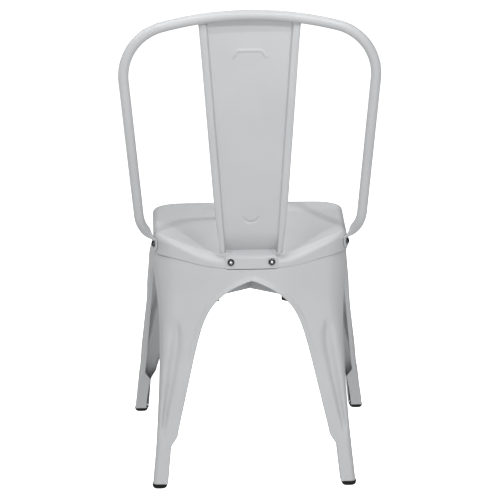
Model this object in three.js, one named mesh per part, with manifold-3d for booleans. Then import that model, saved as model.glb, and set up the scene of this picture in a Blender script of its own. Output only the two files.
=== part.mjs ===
// Stacking café chair of pressed sheet steel: a scooped seat pan on four folded sheet legs that
// meet under its skirt, a crossed brace with stacking bumpers under the seat, a tubular back
// hoop bolted to the seat's rear corners and a flanged back splat screwed to its rear skirt.
// Millimetres, +Z up. The sitter faces -Y, so +X is the sitter's left.
// The origin is on the floor, under the middle of the chair's bounding box.
import * as THREE from "three";
import { mergeVertices } from "three/addons/utils/BufferGeometryUtils.js";
import Module from "manifold-3d";

const wasm = await Module();
wasm.setup();

// ---- driving dimensions ----
const SHEET = 1.6; // painted sheet steel of the seat and legs
const GAP = 0.3; // kept between pieces that touch

const SEAT_FRONT_Z = 446; // highest line of the seat, along its front edge
const SEAT_TILT = 3 / 340; // the rim falls this much per millimetre towards the rear
const SEAT_MID_Y = -8; // where the front and rear legs meet along each side
const SEAT_MID_X = 179.5; // half width of the seat there
const SIDE_SLOPE = 0.043; // the seat narrows this much per millimetre towards the rear
const SCOOP = 31; // how far the rear edge dips at its middle
const SKIRT_Z = 415; // lower edge of the skirt at the front
const SKIRT_TILT = 5 / 340;
const SKIRT_SCOOP = 19;
const RIM_ROLL = 9; // radius of the rolled edge between the seat top and its skirt
const DRAIN_R = 5;
// the plan of each end of the seat: the virtual corner, the fillet's length and the bow of the edge
const REAR_PLAN = { y: 134, fillet: 34, bow: 34 };
const FRONT_PLAN = { y: 186, fillet: 56, bow: 4 };

const SKIRT_LAP = 5; // the legs reach this far up inside the skirt
const LEG_TOP_Z = 410; // the legs' section is the seat's plan from here up
const METAL_Z = 9; // lower end of the legs' metal
const TUBE_W = 27.5; // the lower leg, folded to a nearly closed square tube
const TUBE_Z = 70; // the wings of the leg begin to open above this height
const WING_Z = 96; // and are fully open here
const FLANGE = 7; // turned-in edge of the wings
const FLUTE = 3; // depth of the pressed flute beside the corner ridge
const FLARE = 4.5; // how far the edges flare outwards at the crown of each arch

const REAR_FOOT = { x: 170, y: 217.5 };
const FRONT_FOOT = { x: 223.5, y: 240.5 };
const REAR_ARCH_Z = 368; // top of the arch between the rear legs
const FRONT_ARCH_Z = 368;
const SIDE_ARCH_Z = 358;
const FOOT_R = 13;

const HOOP_TUBE_R = 9;
const HOOP_TOP_Z = 842; // centre line
const HOOP_TOP_Y = 245;
const HOOP_LOW = { y: 133, z: 430 }; // the hoop's leaning plane passes through this line
const HOOP_HALF = 216; // centre line at the widest place
const HOOP_CORNER_R = 90;
const HOOP_CORNER_Z = 736;
const HOOP_BOLT = { z: 427, turn: 24 }; // the skirt faces this many degrees from +X towards +Y there
const TAB = { thick: 3, wide: 20, rise: 8, drop: 12, off: 1.4 }; // the hoop's flattened ends

const SPLAT_TOP = { z: 832, y: 241, half: 84 };
const SPLAT_LOW = { z: 440, y: 175.5, half: 58.5 };
const SPLAT_RIM = 11; // width of the raised side rims
const SPLAT_STEP = 4; // how far the rims stand behind the panel
const TAB_HALF = 46.5;
const TAB_SHOULDER_Z = 410; // the tab hangs straight below this height
const CREASE = { z: 421.5, half: 32.5 }; // where the panel turns into the tab
const FOOT_TAPER = 4; // extra narrowing of each side of the splat at its foot
const TAB_Z = 389.5;
const TAB_GAP = 0.7; // between the tab and the skirt
const BOLT_HOLE_R = 3.4;
const SCREW_HOLE_R = 2.9;
const SCOOP_FLAT = 50; // half width over which the seat's dish is deepest
const SCOOP_FADE = 125; // beyond that, the dish runs out over this width
const ARCH_SLOPE = 0.47; // part of an arch's half width lost to its straight slope
const SCREW = { x: 36.5, z: 401.5 };

const BRACE_Z = 313; // lower edge of the crossed brace
const BRACE_H = 24;
const BRACE_T = 2.5;
const BUMPER_AT = 96; // along each arm, from the crossing
const BUMPER_DROP = 10; // below the brace's lower edge

const PAINT = { color: 0xced1d3, roughness: 0.38, metalness: 0.0 };
const STEEL = { color: 0xb9bbbe, roughness: 0.3, metalness: 1.0 };
const DARK_STEEL = { color: 0x3a3b3d, roughness: 0.4, metalness: 1.0 };
const RUBBER = { color: 0x151515, roughness: 0.75, metalness: 0.0 };

// ---- helpers ----
const V = (x, y, z) => new THREE.Vector3(x, y, z);
const mix = THREE.MathUtils.lerp;
const smooth = (x, a, b) => THREE.MathUtils.smoothstep(x, a, b);
const range = (n) => Array.from({ length: n }, (_, i) => i);

const chair = new THREE.Group();

function addMesh(name, geometry, finish) {
  const mesh = new THREE.Mesh(geometry, new THREE.MeshStandardMaterial(finish));
  mesh.name = name;
  chair.add(mesh);
  return mesh;
}

// A closed body from corner points and triangles; it is turned to face out.
function closedGeometry(points, triangles) {
  const geometry = new THREE.BufferGeometry().setFromPoints(points);
  geometry.setIndex(triangles.flat());
  const volume = triangles.reduce(
    (sum, [a, b, c]) => sum + points[a].dot(V(0, 0, 0).crossVectors(points[b], points[c])),
    0,
  );
  if (volume < 0) geometry.setIndex(triangles.map(([a, b, c]) => [a, c, b]).flat());
  return geometry;
}

// A thin sheet: rows of points on its outer face, thickened along its normals.
// wrap: each row is a closed loop. The normal points away from the inner face.
function sheet(rows, thickness, wrap = false) {
  const m = rows.length;
  const n = rows[0].length;
  const at = (i, j) => rows[i][wrap ? (j + n) % n : THREE.MathUtils.clamp(j, 0, n - 1)];
  const normalAt = (i, j) => {
    const along = V(0, 0, 0).subVectors(at(Math.min(i + 1, m - 1), j), at(Math.max(i - 1, 0), j));
    const before = V(0, 0, 0).subVectors(at(i, j), at(i, j - 1));
    const after = V(0, 0, 0).subVectors(at(i, j + 1), at(i, j));
    const n1 = V(0, 0, 0).crossVectors(before.lengthSq() > 0 ? before : after, along).normalize();
    const n2 = V(0, 0, 0).crossVectors(after.lengthSq() > 0 ? after : before, along).normalize();
    const both = n1.clone().add(n2);
    return both.multiplyScalar(1 / Math.max(0.7, 0.5 * both.lengthSq()));
  };
  const outer = rows.flatMap((row) => row.map((p) => p.clone()));
  const inner = rows.flatMap((row, i) =>
    row.map((p, j) => p.clone().addScaledVector(normalAt(i, j), -thickness)),
  );
  const points = [...outer, ...inner];
  const low = m * n;
  const id = (i, j) => i * n + (wrap ? (j + n) % n : j);
  const triangles = [];
  const quad = (a, b, c, d) => triangles.push([a, b, c], [a, c, d]);
  for (let i = 0; i < m - 1; i++)
    for (let j = 0; j < (wrap ? n : n - 1); j++) {
      quad(id(i, j), id(i + 1, j), id(i + 1, j + 1), id(i, j + 1));
      quad(low + id(i, j), low + id(i, j + 1), low + id(i + 1, j + 1), low + id(i + 1, j));
    }
  for (let j = 0; j < (wrap ? n : n - 1); j++) {
    quad(id(0, j), id(0, j + 1), low + id(0, j + 1), low + id(0, j));
    quad(id(m - 1, j + 1), id(m - 1, j), low + id(m - 1, j), low + id(m - 1, j + 1));
  }
  if (!wrap)
    for (let i = 0; i < m - 1; i++) {
      quad(id(i + 1, 0), id(i, 0), low + id(i, 0), low + id(i + 1, 0));
      quad(id(i, n - 1), id(i + 1, n - 1), low + id(i + 1, n - 1), low + id(i, n - 1));
    }
  return closedGeometry(points, triangles);
}

// A solid skin over closed rings of points, capped at both ends.
function loft(rings) {
  const m = rings.length;
  const n = rings[0].length;
  const points = rings.flat();
  const triangles = [];
  for (let i = 0; i < m - 1; i++)
    for (let j = 0; j < n; j++) {
      const k = (j + 1) % n;
      triangles.push([i * n + j, (i + 1) * n + j, (i + 1) * n + k]);
      triangles.push([i * n + j, (i + 1) * n + k, i * n + k]);
    }
  for (let j = 1; j < n - 1; j++) {
    triangles.push([0, j, j + 1]);
    triangles.push([(m - 1) * n, (m - 1) * n + j + 1, (m - 1) * n + j]);
  }
  return closedGeometry(points, triangles);
}

function toSolid(geometry) {
  const bare = geometry.clone();
  bare.deleteAttribute("normal");
  bare.deleteAttribute("uv");
  const merged = mergeVertices(bare, 1e-4);
  return new wasm.Manifold(
    new wasm.Mesh({
      numProp: 3,
      vertProperties: merged.attributes.position.array,
      triVerts: new Uint32Array(merged.index.array),
    }),
  );
}

function toGeometry(solid) {
  const mesh = solid.getMesh();
  return new THREE.BufferGeometry()
    .setAttribute("position", new THREE.BufferAttribute(mesh.vertProperties, 3))
    .setIndex(new THREE.BufferAttribute(mesh.triVerts, 1));
}

const cut = (geometry, ...tools) =>
  toGeometry(tools.reduce((solid, tool) => solid.subtract(toSolid(tool)), toSolid(geometry)));

// A round rod from one point to another, for holes.
function rod(from, to, radius, sides = 12) {
  const axis = V(0, 0, 0).subVectors(to, from);
  const geometry = new THREE.CylinderGeometry(radius, radius, axis.length(), sides);
  geometry.applyQuaternion(new THREE.Quaternion().setFromUnitVectors(V(0, 1, 0), axis.clone().normalize()));
  const middle = from.clone().add(to).multiplyScalar(0.5);
  return geometry.translate(middle.x, middle.y, middle.z);
}

// A turned piece: profile of [radius, height] points, its axis along dir from a base point.
function turned(profile, base, dir, sides = 14) {
  const points = profile.map(([r, h]) => new THREE.Vector2(r, h));
  const geometry = new THREE.LatheGeometry(points, sides);
  geometry.applyQuaternion(new THREE.Quaternion().setFromUnitVectors(V(0, 1, 0), dir.clone().normalize()));
  return geometry.translate(base.x, base.y, base.z);
}

// ---- the seat's surface and plan ----
// 1 across the middle of the rear edge, 0 at its corners
function scoopAcross(x) {
  const out = (Math.abs(x) - SCOOP_FLAT) / SCOOP_FADE;
  return 0.5 + 0.5 * Math.cos(Math.PI * THREE.MathUtils.clamp(out, 0, 1));
}
const scoopAlong = (y) => smooth(y, -170, 175);
const fromFront = (y) => y + FRONT_PLAN.y;

const seatTopZ = (x, y) =>
  SEAT_FRONT_Z - SEAT_TILT * fromFront(y) - SCOOP * scoopAcross(x) * scoopAlong(y);
const skirtZ = (x, y) =>
  SKIRT_Z - SKIRT_TILT * fromFront(y) - SKIRT_SCOOP * scoopAcross(x) * smooth(y, 60, 160);

// One quarter outline in plan, from the middle of the side to the middle of the end, as points
// with x and y both counted outwards. sections: how many steps the side, fillet and end take.
function quarterOutline({ x, y, sideLean, fillet, bow, sideEnd, endEnd }, [nSide, nFillet, nEnd]) {
  const side = (v) => new THREE.Vector2(x + sideLean * (y - v), v);
  const end = (u) => new THREE.Vector2(u, y + bow * (1 - (u / x) ** 2));
  const a = side(y - fillet);
  const b = end(x - fillet);
  const toCorner = (p, slopeX, slopeY) =>
    p.clone().add(new THREE.Vector2(slopeX, slopeY).multiplyScalar(0.56 * fillet));
  const curve = new THREE.CubicBezierCurve(
    a,
    toCorner(a, -sideLean, 1),
    toCorner(b, 1, (-2 * bow * (x - fillet)) / x ** 2),
    b,
  );
  return [
    ...range(nSide).map((i) => side(mix(sideEnd, y - fillet, i / nSide))),
    ...curve.getPoints(nFillet),
    ...range(nEnd).map((i) => end(mix(x - fillet, endEnd, (i + 1) / nEnd))),
  ];
}

const planOf = (plan, front) => ({
  x: SEAT_MID_X + SIDE_SLOPE * (front ? plan.y + SEAT_MID_Y : -(plan.y - SEAT_MID_Y)),
  y: plan.y,
  sideLean: front ? -SIDE_SLOPE : SIDE_SLOPE,
  fillet: plan.fillet,
  bow: plan.bow,
  sideEnd: front ? -SEAT_MID_Y : SEAT_MID_Y,
  endEnd: 0,
});

// The whole seat outline as a loop, moved inwards by inset.
function seatLoop(inset) {
  const steps = [2, 5, 3];
  const rear = quarterOutline(planOf(REAR_PLAN, false), steps);
  const front = quarterOutline(planOf(FRONT_PLAN, true), steps);
  const frontHalf = front.slice(1).map((p) => new THREE.Vector2(p.x, -p.y));
  const half = [...rear.slice().reverse(), ...frontHalf];
  const mirrored = half.slice(1, -1).reverse().map((p) => new THREE.Vector2(-p.x, p.y));
  const loop = [...half, ...mirrored];
  return loop.map((p, i) => {
    const before = loop[(i + loop.length - 1) % loop.length];
    const after = loop[(i + 1) % loop.length];
    const along = after.clone().sub(before).normalize();
    return new THREE.Vector2(p.x + along.y * inset, p.y - along.x * inset);
  });
}

// Rods through the rear skirt and the splat's tab, where the two screws go.
const screwHoleRods = () =>
  [1, -1].map((s) => rod(V(s * SCREW.x, 150, SCREW.z), V(s * SCREW.x, 190, SCREW.z), SCREW_HOLE_R));

function buildSeatPan() {
  const flat = seatLoop(RIM_ROLL);
  const rings = [0, 0.25, 0.5, 0.7, 0.88, 1].map((f) =>
    flat.map((p) => {
      const reach = p.length();
      const r = mix(DRAIN_R, reach, f) / reach;
      return V(p.x * r, p.y * r, seatTopZ(p.x * r, p.y * r));
    }),
  );
  for (const angle of [30, 60, 90].map(THREE.MathUtils.degToRad))
    rings.push(
      seatLoop(RIM_ROLL * (1 - Math.sin(angle))).map((p, i) =>
        V(p.x, p.y, seatTopZ(flat[i].x, flat[i].y) - RIM_ROLL * (1 - Math.cos(angle))),
      ),
    );
  rings.push(seatLoop(0).map((p) => V(p.x, p.y, skirtZ(p.x, p.y))));
  const boltTools = [1, -1].map((s) => {
    const axis = boltAxis(s);
    const at = boltPoint(s);
    return rod(at.clone().addScaledVector(axis, -20), at.clone().addScaledVector(axis, 20), BOLT_HOLE_R);
  });
  return cut(sheet(rings, SHEET, true), ...boltTools, ...screwHoleRods());
}

// ---- legs ----
// Half width of an arch at height z: nearly straight sides that turn in to a pointed crown.
function archReach(z, crownZ, span) {
  const w = THREE.MathUtils.clamp((z - WING_Z) / (crownZ - WING_Z), 0, 1);
  return span * (1 - ARCH_SLOPE * w - (1 - ARCH_SLOPE) * w ** 9);
}

// Where the side panels of the front and rear legs meet, half way along the seat.
const sideMidX = (z) => mix(SEAT_MID_X, SEAT_MID_X - SHEET - GAP, smooth(z, 340, LEG_TOP_Z));

// The corner ridge of a leg at height z, in outward x and y, with the bow of its end wing.
// Both kinds of leg take the seat's plan at LEG_TOP_Z and end over their feet.
function rearCorner(z) {
  const top = planOf(REAR_PLAN, false);
  const inset = SHEET + GAP;
  const waist = 163.5;
  const spread = 20; // how far the foot stands out from the waist
  const kneeZ = 300;
  const above = mix(waist, top.x - inset, smooth(z, kneeZ, LEG_TOP_Z));
  return {
    x: z > kneeZ ? above : waist + spread * (1 - z / kneeZ) ** 1.7,
    y: mix(REAR_FOOT.y + FOOT_R, top.y - inset, Math.min(z / LEG_TOP_Z, 1)),
    fillet: mix(9, top.fillet, smooth(z, 120, LEG_TOP_Z)),
    bow: REAR_PLAN.bow * THREE.MathUtils.clamp((z - 215) / (LEG_TOP_Z - 215), 0, 1) ** 1.1,
  };
}

function frontCorner(z) {
  const top = planOf(FRONT_PLAN, true);
  const inset = SHEET + GAP;
  const leanX = 0.0985; // outwards per millimetre down
  return {
    x: mix(FRONT_FOOT.x + FOOT_R - leanX * z, top.x - inset, smooth(z, 350, LEG_TOP_Z)),
    y: mix(FRONT_FOOT.y + FOOT_R, top.y - inset, Math.min(z / LEG_TOP_Z, 1)),
    fillet: mix(9, top.fillet, smooth(z, 120, LEG_TOP_Z)),
    bow: FRONT_PLAN.bow * smooth(z, 200, LEG_TOP_Z),
  };
}

// One row of a leg at height z: flange tip, side wing, corner ridge, end wing, flange tip.
function legRow(z, cornerAt, midY, endArchZ) {
  const k = cornerAt(z);
  const atWing = cornerAt(WING_Z);
  const open = smooth(z, TUBE_Z, WING_Z);
  const wingW = 38;
  const endSpan = atWing.x - wingW;
  const sideSpan = atWing.y - wingW - midY;
  const endEnd = mix(k.x - TUBE_W, Math.max(archReach(z, endArchZ, endSpan), GAP / 2), open);
  const sideEnd = mix(k.y - TUBE_W, midY + Math.max(archReach(z, SIDE_ARCH_Z, sideSpan), GAP / 2), open);
  const turn = mix(TUBE_W - 5, FLANGE, open);
  const sideLean = (smooth(z, 20, 110) * (sideMidX(z) - k.x)) / (k.y - midY);
  const line = quarterOutline({ ...k, sideLean, sideEnd, endEnd }, [3, 4, 3]);
  const flute = FLUTE * smooth(z, 95, 150) * (1 - smooth(z, 280, 330));
  line[2].x -= flute;
  line[line.length - 3].y -= flute;
  const flareAt = (crownZ) => FLARE * smooth(z, 290, crownZ - 8) * (1 - smooth(z, crownZ + 4, crownZ + 18));
  const first = line[0];
  const last = line[line.length - 1];
  first.x += flareAt(SIDE_ARCH_Z);
  last.y += flareAt(endArchZ);
  return [
    new THREE.Vector2(first.x - turn, first.y),
    ...line,
    new THREE.Vector2(last.x, last.y - turn),
  ];
}

// Heights of a leg's rows, closer together where its outline turns.
const TUBE_LEVELS = [METAL_Z, 40, TUBE_Z, 79, 87, WING_Z];
const LEG_LEVELS = [...TUBE_LEVELS, 125, 165, 205, 245, 280, 310, 332, 347, 356, 366, 380];

function buildLeg(front, sx) {
  const cornerAt = front ? frontCorner : rearCorner;
  const midY = front ? -SEAT_MID_Y : SEAT_MID_Y;
  const archZ = front ? FRONT_ARCH_Z : REAR_ARCH_Z;
  const sy = front ? -1 : 1;
  const rows = LEG_LEVELS.map((z) =>
    legRow(z, cornerAt, midY, archZ).map((p) => V(sx * p.x, sy * p.y, z)),
  );
  // the last rows follow the skirt's lower edge, one below it and one inside it
  for (const lap of [-2, SKIRT_LAP])
    rows.push(
      legRow(LEG_TOP_Z, cornerAt, midY, archZ).map((p) =>
        V(sx * p.x, sy * p.y, skirtZ(p.x, sy * p.y) + lap),
      ),
    );
  return sheet(sx * sy > 0 ? rows : rows.map((row) => row.slice().reverse()), SHEET);
}

function footAt(front, sx) {
  const foot = front ? FRONT_FOOT : REAR_FOOT;
  return V(sx * foot.x, (front ? -1 : 1) * foot.y, 0);
}

function buildFoot(front, sx) {
  const profile = [
    [0, 0],
    [9.5, 0],
    [12, 2],
    [FOOT_R, 5],
    [FOOT_R, METAL_Z - 2 * GAP],
    [7, METAL_Z - 2 * GAP],
    [6.5, METAL_Z + 7],
    [0, METAL_Z + 7],
  ];
  return turned(profile, footAt(front, sx), V(0, 0, 1), 20);
}

// ---- back hoop ----
const boltAxis = (s) => {
  const a = THREE.MathUtils.degToRad(HOOP_BOLT.turn);
  return V(s * Math.cos(a), Math.sin(a), 0);
};
// The point furthest out along the bolt's axis is where the skirt faces it.
function boltPoint(s) {
  const axis = boltAxis(1);
  const outline = quarterOutline(planOf(REAR_PLAN, false), [1, 60, 1]);
  const reach = (p) => p.x * axis.x + p.y * axis.y;
  const p = outline.reduce((best, q) => (reach(q) > reach(best) ? q : best));
  return V(s * p.x, p.y, HOOP_BOLT.z);
}
const hoopY = (z) => mix(HOOP_LOW.y, HOOP_TOP_Y, (z - HOOP_LOW.z) / (HOOP_TOP_Z - HOOP_LOW.z));

// The hoop's shallow top arc is tangent to its corner arcs.
function hoopTopR() {
  const cornerX = HOOP_HALF - HOOP_CORNER_R;
  const drop = HOOP_TOP_Z - HOOP_CORNER_Z;
  return (cornerX ** 2 + drop ** 2 - HOOP_CORNER_R ** 2) / (2 * (drop - HOOP_CORNER_R));
}

// Centre line of half the hoop, from the middle of its top to its bolted end.
function hoopHalfPath(s) {
  const cornerX = HOOP_HALF - HOOP_CORNER_R;
  const drop = HOOP_TOP_Z - HOOP_CORNER_Z;
  const topR = hoopTopR();
  const join = Math.atan2(cornerX, topR - drop);
  const sideLean = THREE.MathUtils.degToRad(3.9);
  const points = [];
  for (const i of range(4)) {
    const a = (join * i) / 4;
    points.push([topR * Math.sin(a), HOOP_TOP_Z - topR * (1 - Math.cos(a))]);
  }
  for (const i of range(10)) {
    const a = mix(Math.PI / 2 - join, -sideLean, i / 9);
    points.push([cornerX + HOOP_CORNER_R * Math.cos(a), HOOP_CORNER_Z + HOOP_CORNER_R * Math.sin(a)]);
  }
  const [x0, z0] = points[points.length - 1];
  for (const z of [620, 540, 485]) points.push([x0 - (z0 - z) * Math.tan(sideLean), z]);
  const path = points.map(([x, z]) => V(s * x, hoopY(z), z));
  // the lower bend turns in and forward to the flat tab
  const bolt = boltPoint(s).addScaledVector(boltAxis(s), TAB.off + TAB.thick / 2);
  const tabTop = bolt.clone().add(V(0, 0, TAB.rise));
  const bend = new THREE.CubicBezierCurve3(
    path[path.length - 1].clone(),
    path[path.length - 1].clone().add(V(-s * 2, -7, -24)),
    tabTop.clone().addScaledVector(boltAxis(s), 12).add(V(0, 0, 14)),
    tabTop,
  );
  return [...path, ...bend.getPoints(6).slice(1), bolt, bolt.clone().add(V(0, 0, -TAB.drop))];
}

function buildHoop() {
  const left = hoopHalfPath(1);
  const right = hoopHalfPath(-1);
  const path = [...left.slice(1).reverse(), left[0], ...right.slice(1)];
  const count = path.length;
  const rings = path.map((p, i) => {
    const tangent = V(0, 0, 0)
      .subVectors(path[Math.min(i + 1, count - 1)], path[Math.max(i - 1, 0)])
      .normalize();
    const steps = Math.min(i, count - 1 - i); // from the nearer end
    const flat = 1 - smooth(steps, 2, 6);
    const back = V(0, HOOP_TOP_Z - HOOP_LOW.z, HOOP_LOW.y - HOOP_TOP_Y).normalize();
    const outward = boltAxis(p.x > 0 ? 1 : -1);
    // thin direction of the section: across the tab at the ends, across the hoop's plane elsewhere
    const thin = V(0, 0, 0).crossVectors(tangent, back).normalize();
    if (thin.dot(outward) < 0) thin.negate();
    const dir = thin.lerp(outward, flat).addScaledVector(tangent, -thin.dot(tangent)).normalize();
    const wide = V(0, 0, 0).crossVectors(tangent, dir).normalize();
    const a = mix(HOOP_TUBE_R, TAB.thick / 2, flat);
    const b = mix(HOOP_TUBE_R, TAB.wide / 2, flat);
    return range(10).map((j) => {
      const t = (j / 10) * 2 * Math.PI;
      return p.clone().addScaledVector(dir, a * Math.cos(t)).addScaledVector(wide, b * Math.sin(t));
    });
  });
  const holes = [1, -1].map((s) => {
    const at = boltPoint(s);
    return rod(at, at.clone().addScaledVector(boltAxis(s), 10), BOLT_HOLE_R);
  });
  return cut(loft(rings), ...holes);
}

// ---- back splat ----
const splatY = (z) => mix(SPLAT_LOW.y, SPLAT_TOP.y, (z - SPLAT_LOW.z) / (SPLAT_TOP.z - SPLAT_LOW.z));
const splatHalf = (z) =>
  mix(SPLAT_LOW.half, SPLAT_TOP.half, (z - SPLAT_LOW.z) / (SPLAT_TOP.z - SPLAT_LOW.z)) -
  FOOT_TAPER * smooth(z, 530, 418);
const tabY = () => REAR_PLAN.y + REAR_PLAN.bow + TAB_GAP + SHEET;

// Half a row of the splat: [x, y, z] from the middle to the turned edge of the rim, with the
// panel tucked forward by tuck. drop(x) lowers the row, as where it follows the hoop.
function splatRow(z, tuck, drop = () => 0) {
  const half = splatHalf(z);
  const y = splatY(z) - tuck;
  const panelY = y - SPLAT_STEP;
  const inner = half - SPLAT_RIM;
  return [
    [0, panelY, z],
    [inner * 0.5, panelY, z],
    [inner - 3, panelY, z],
    [inner, y, z],
    [half, splatY(z), z],
    [half, splatY(z) - 8, z],
  ].map(([x, yy, zz]) => [x, yy, zz - drop(x)]);
}

// Half a row of the screwed tab under the panel.
const tabRow = (half, z, y) => [0, 0.45, 0.75, 0.88, 0.96, 1].map((f) => [half * f, y, z]);

function buildSplat() {
  const y = tabY();
  const halves = [
    splatRow(SPLAT_TOP.z, 0, (x) => x ** 2 / (2 * hoopTopR())),
    splatRow(700, 0),
    splatRow(580, 0),
    splatRow(475, 0),
    splatRow(455, 2),
    splatRow(434, 7, (x) => 14 * smooth(x, 40, 50)),
    tabRow(CREASE.half, CREASE.z, y - 9),
    tabRow(TAB_HALF, TAB_SHOULDER_Z, y),
    tabRow(TAB_HALF, TAB_Z, y),
  ];
  const bowed = (x, yy) => yy - REAR_PLAN.bow * (x / planOf(REAR_PLAN, false).x) ** 2;
  const rows = halves.map((half, i) => {
    const place = ([x, yy, z], s) => V(s * x, i > 5 ? bowed(x, yy) : yy, z);
    return [...half.slice(1).reverse().map((p) => place(p, -1)), ...half.map((p) => place(p, 1))];
  });
  return cut(sheet(rows, SHEET), ...screwHoleRods());
}

// ---- crossed brace ----
const armEnd = (front) => {
  const k = (front ? frontCorner : rearCorner)(BRACE_Z + BRACE_H / 2);
  const inset = 0.29 * k.fillet + SHEET + 4;
  return new THREE.Vector2(k.x - inset, (front ? -1 : 1) * (k.y - inset));
};

function braceFrame(s) {
  const rear = armEnd(false);
  const front = armEnd(true);
  const from = V(s * rear.x, rear.y, 0);
  const to = V(-s * front.x, front.y, 0);
  const t = rear.x / (rear.x + front.x);
  return { from, to, cross: from.clone().lerp(to, t), dir: to.clone().sub(from).normalize() };
}

function barAlong(from, to, z0, z1, thickness) {
  const along = V(0, 0, 0).subVectors(to, from);
  const box = new THREE.BoxGeometry(along.length(), thickness, z1 - z0);
  box.rotateZ(Math.atan2(along.y, along.x));
  return box.translate((from.x + to.x) / 2, (from.y + to.y) / 2, (z0 + z1) / 2);
}

// Two bars on edge, halved into each other where they cross.
function buildBrace(s) {
  const { from, to, cross, dir } = braceFrame(s);
  const other = braceFrame(-s);
  const bar = barAlong(from, to, BRACE_Z, BRACE_Z + BRACE_H, BRACE_T);
  const reach = BRACE_T / 2 + GAP + 2;
  const half = BRACE_Z + BRACE_H / 2;
  const slot = barAlong(
    cross.clone().addScaledVector(other.dir, -reach * 2),
    cross.clone().addScaledVector(other.dir, reach * 2),
    s > 0 ? half - GAP / 2 : BRACE_Z - 5,
    s > 0 ? BRACE_Z + BRACE_H + 5 : half + GAP / 2,
    BRACE_T + 2 * GAP,
  );
  return cut(bar, slot);
}

// A plastic clip pushed onto the lower edge of a brace arm; it rests on the seat below in a stack.
function buildBumper(sx, front) {
  const frame = braceFrame(front ? -sx : sx);
  const outward = frame.dir.clone().multiplyScalar(front ? 1 : -1);
  const middle = frame.cross.clone().addScaledVector(outward, BUMPER_AT);
  const a = middle.clone().addScaledVector(outward, -12);
  const b = middle.clone().addScaledVector(outward, 12);
  const top = BRACE_Z + 9;
  const body = barAlong(a, b, BRACE_Z - BUMPER_DROP, top, 11);
  const slot = barAlong(
    middle.clone().addScaledVector(outward, -20),
    middle.clone().addScaledVector(outward, 20),
    BRACE_Z - GAP,
    top + 5,
    BRACE_T + 2 * GAP,
  );
  return cut(body, slot);
}

// ---- fasteners ----
function buildHoopBolt(s) {
  const shank = 2.7;
  const head = [
    [0, -9],
    [shank, -9],
    [shank, 0],
    [5.5, 0],
    [5.5, 1.2],
    [4.4, 3],
    [2.2, 3.9],
    [0, 3.9],
  ];
  const seatOn = boltPoint(s).addScaledVector(boltAxis(s), TAB.off + TAB.thick + GAP);
  return turned(head, seatOn, boltAxis(s), 16);
}

function buildSplatScrew(s) {
  const shank = 2.3;
  const headR = 6.2;
  const y = tabY() - REAR_PLAN.bow * ((SCREW.x - headR) / planOf(REAR_PLAN, false).x) ** 2;
  const head = [
    [0, -9],
    [shank, -9],
    [shank, 0],
    [headR, 0],
    [headR, 1],
    [4.8, 2.9],
    [2.2, 3.8],
    [0, 3.8],
  ];
  return turned(head, V(s * SCREW.x, y + GAP, SCREW.z), V(0, 1, 0), 16);
}

// A hexagon nut around a shank, its axis along dir.
function hexNut(centre, dir, across, bore, height) {
  const body = new THREE.CylinderGeometry(across / Math.sqrt(3), across / Math.sqrt(3), height, 6);
  body.applyQuaternion(new THREE.Quaternion().setFromUnitVectors(V(0, 1, 0), dir));
  body.translate(centre.x, centre.y, centre.z);
  const reach = dir.clone().multiplyScalar(height);
  return cut(body, rod(centre.clone().sub(reach), centre.clone().add(reach), bore));
}

// ---- assembly ----
addMesh("seat_pan", buildSeatPan(), PAINT);
for (const front of [true, false])
  for (const sx of [1, -1]) {
    const name = (front ? "front_" : "rear_") + (sx > 0 ? "left" : "right");
    addMesh("leg_" + name, buildLeg(front, sx), PAINT);
    addMesh("foot_" + name, buildFoot(front, sx), RUBBER);
    addMesh("stack_bumper_" + name, buildBumper(sx, front), RUBBER);
  }
addMesh("brace_bar_left", buildBrace(1), PAINT);
addMesh("brace_bar_right", buildBrace(-1), PAINT);
addMesh("back_hoop", buildHoop(), PAINT);
addMesh("back_splat", buildSplat(), PAINT);
for (const s of [1, -1]) {
  const side = s > 0 ? "left" : "right";
  const inwards = boltAxis(s).negate();
  addMesh("hoop_bolt_" + side, buildHoopBolt(s), DARK_STEEL);
  addMesh(
    "hoop_nut_" + side,
    hexNut(boltPoint(s).addScaledVector(inwards, 5.5), inwards, 10, 3, 4),
    STEEL,
  );
  addMesh("splat_screw_" + side, buildSplatScrew(s), DARK_STEEL);
  const skirtY = tabY() - SHEET - TAB_GAP - REAR_PLAN.bow * (SCREW.x / planOf(REAR_PLAN, false).x) ** 2;
  addMesh(
    "splat_nut_" + side,
    hexNut(V(s * SCREW.x, skirtY - SHEET - 3.2, SCREW.z), V(0, -1, 0), 8, 2.6, 3.5),
    STEEL,
  );
}

export default chair;
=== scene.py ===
"""Looks of the pressed-steel stacking chair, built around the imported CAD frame.

Sizes in this script are millimetres, turned into metres when a mesh is made. The sitter faces -Y,
so the camera stands on the +Y side. Every sheet piece is a fine grid of its outer face, thickened
inwards, with rounded edges.
"""
import math
import bpy
import bmesh
import numpy as np
from mathutils import Matrix, Vector


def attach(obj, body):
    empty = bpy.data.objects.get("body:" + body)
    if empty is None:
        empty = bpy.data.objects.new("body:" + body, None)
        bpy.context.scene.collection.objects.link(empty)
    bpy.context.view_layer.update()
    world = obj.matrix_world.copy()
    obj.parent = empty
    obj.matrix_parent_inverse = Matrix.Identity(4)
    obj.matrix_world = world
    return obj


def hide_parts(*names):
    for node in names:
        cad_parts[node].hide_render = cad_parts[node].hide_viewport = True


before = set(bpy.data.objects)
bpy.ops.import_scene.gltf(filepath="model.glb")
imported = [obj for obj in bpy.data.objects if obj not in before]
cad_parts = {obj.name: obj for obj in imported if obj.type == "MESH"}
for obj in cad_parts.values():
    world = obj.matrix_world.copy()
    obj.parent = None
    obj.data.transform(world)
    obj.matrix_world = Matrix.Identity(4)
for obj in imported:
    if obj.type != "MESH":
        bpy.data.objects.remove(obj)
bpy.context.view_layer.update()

# ---- driving dimensions, as in the CAD ----
SHEET = 1.6  # painted sheet steel of the seat, legs and splat
GAP = 0.3  # kept between pieces that touch

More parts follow.
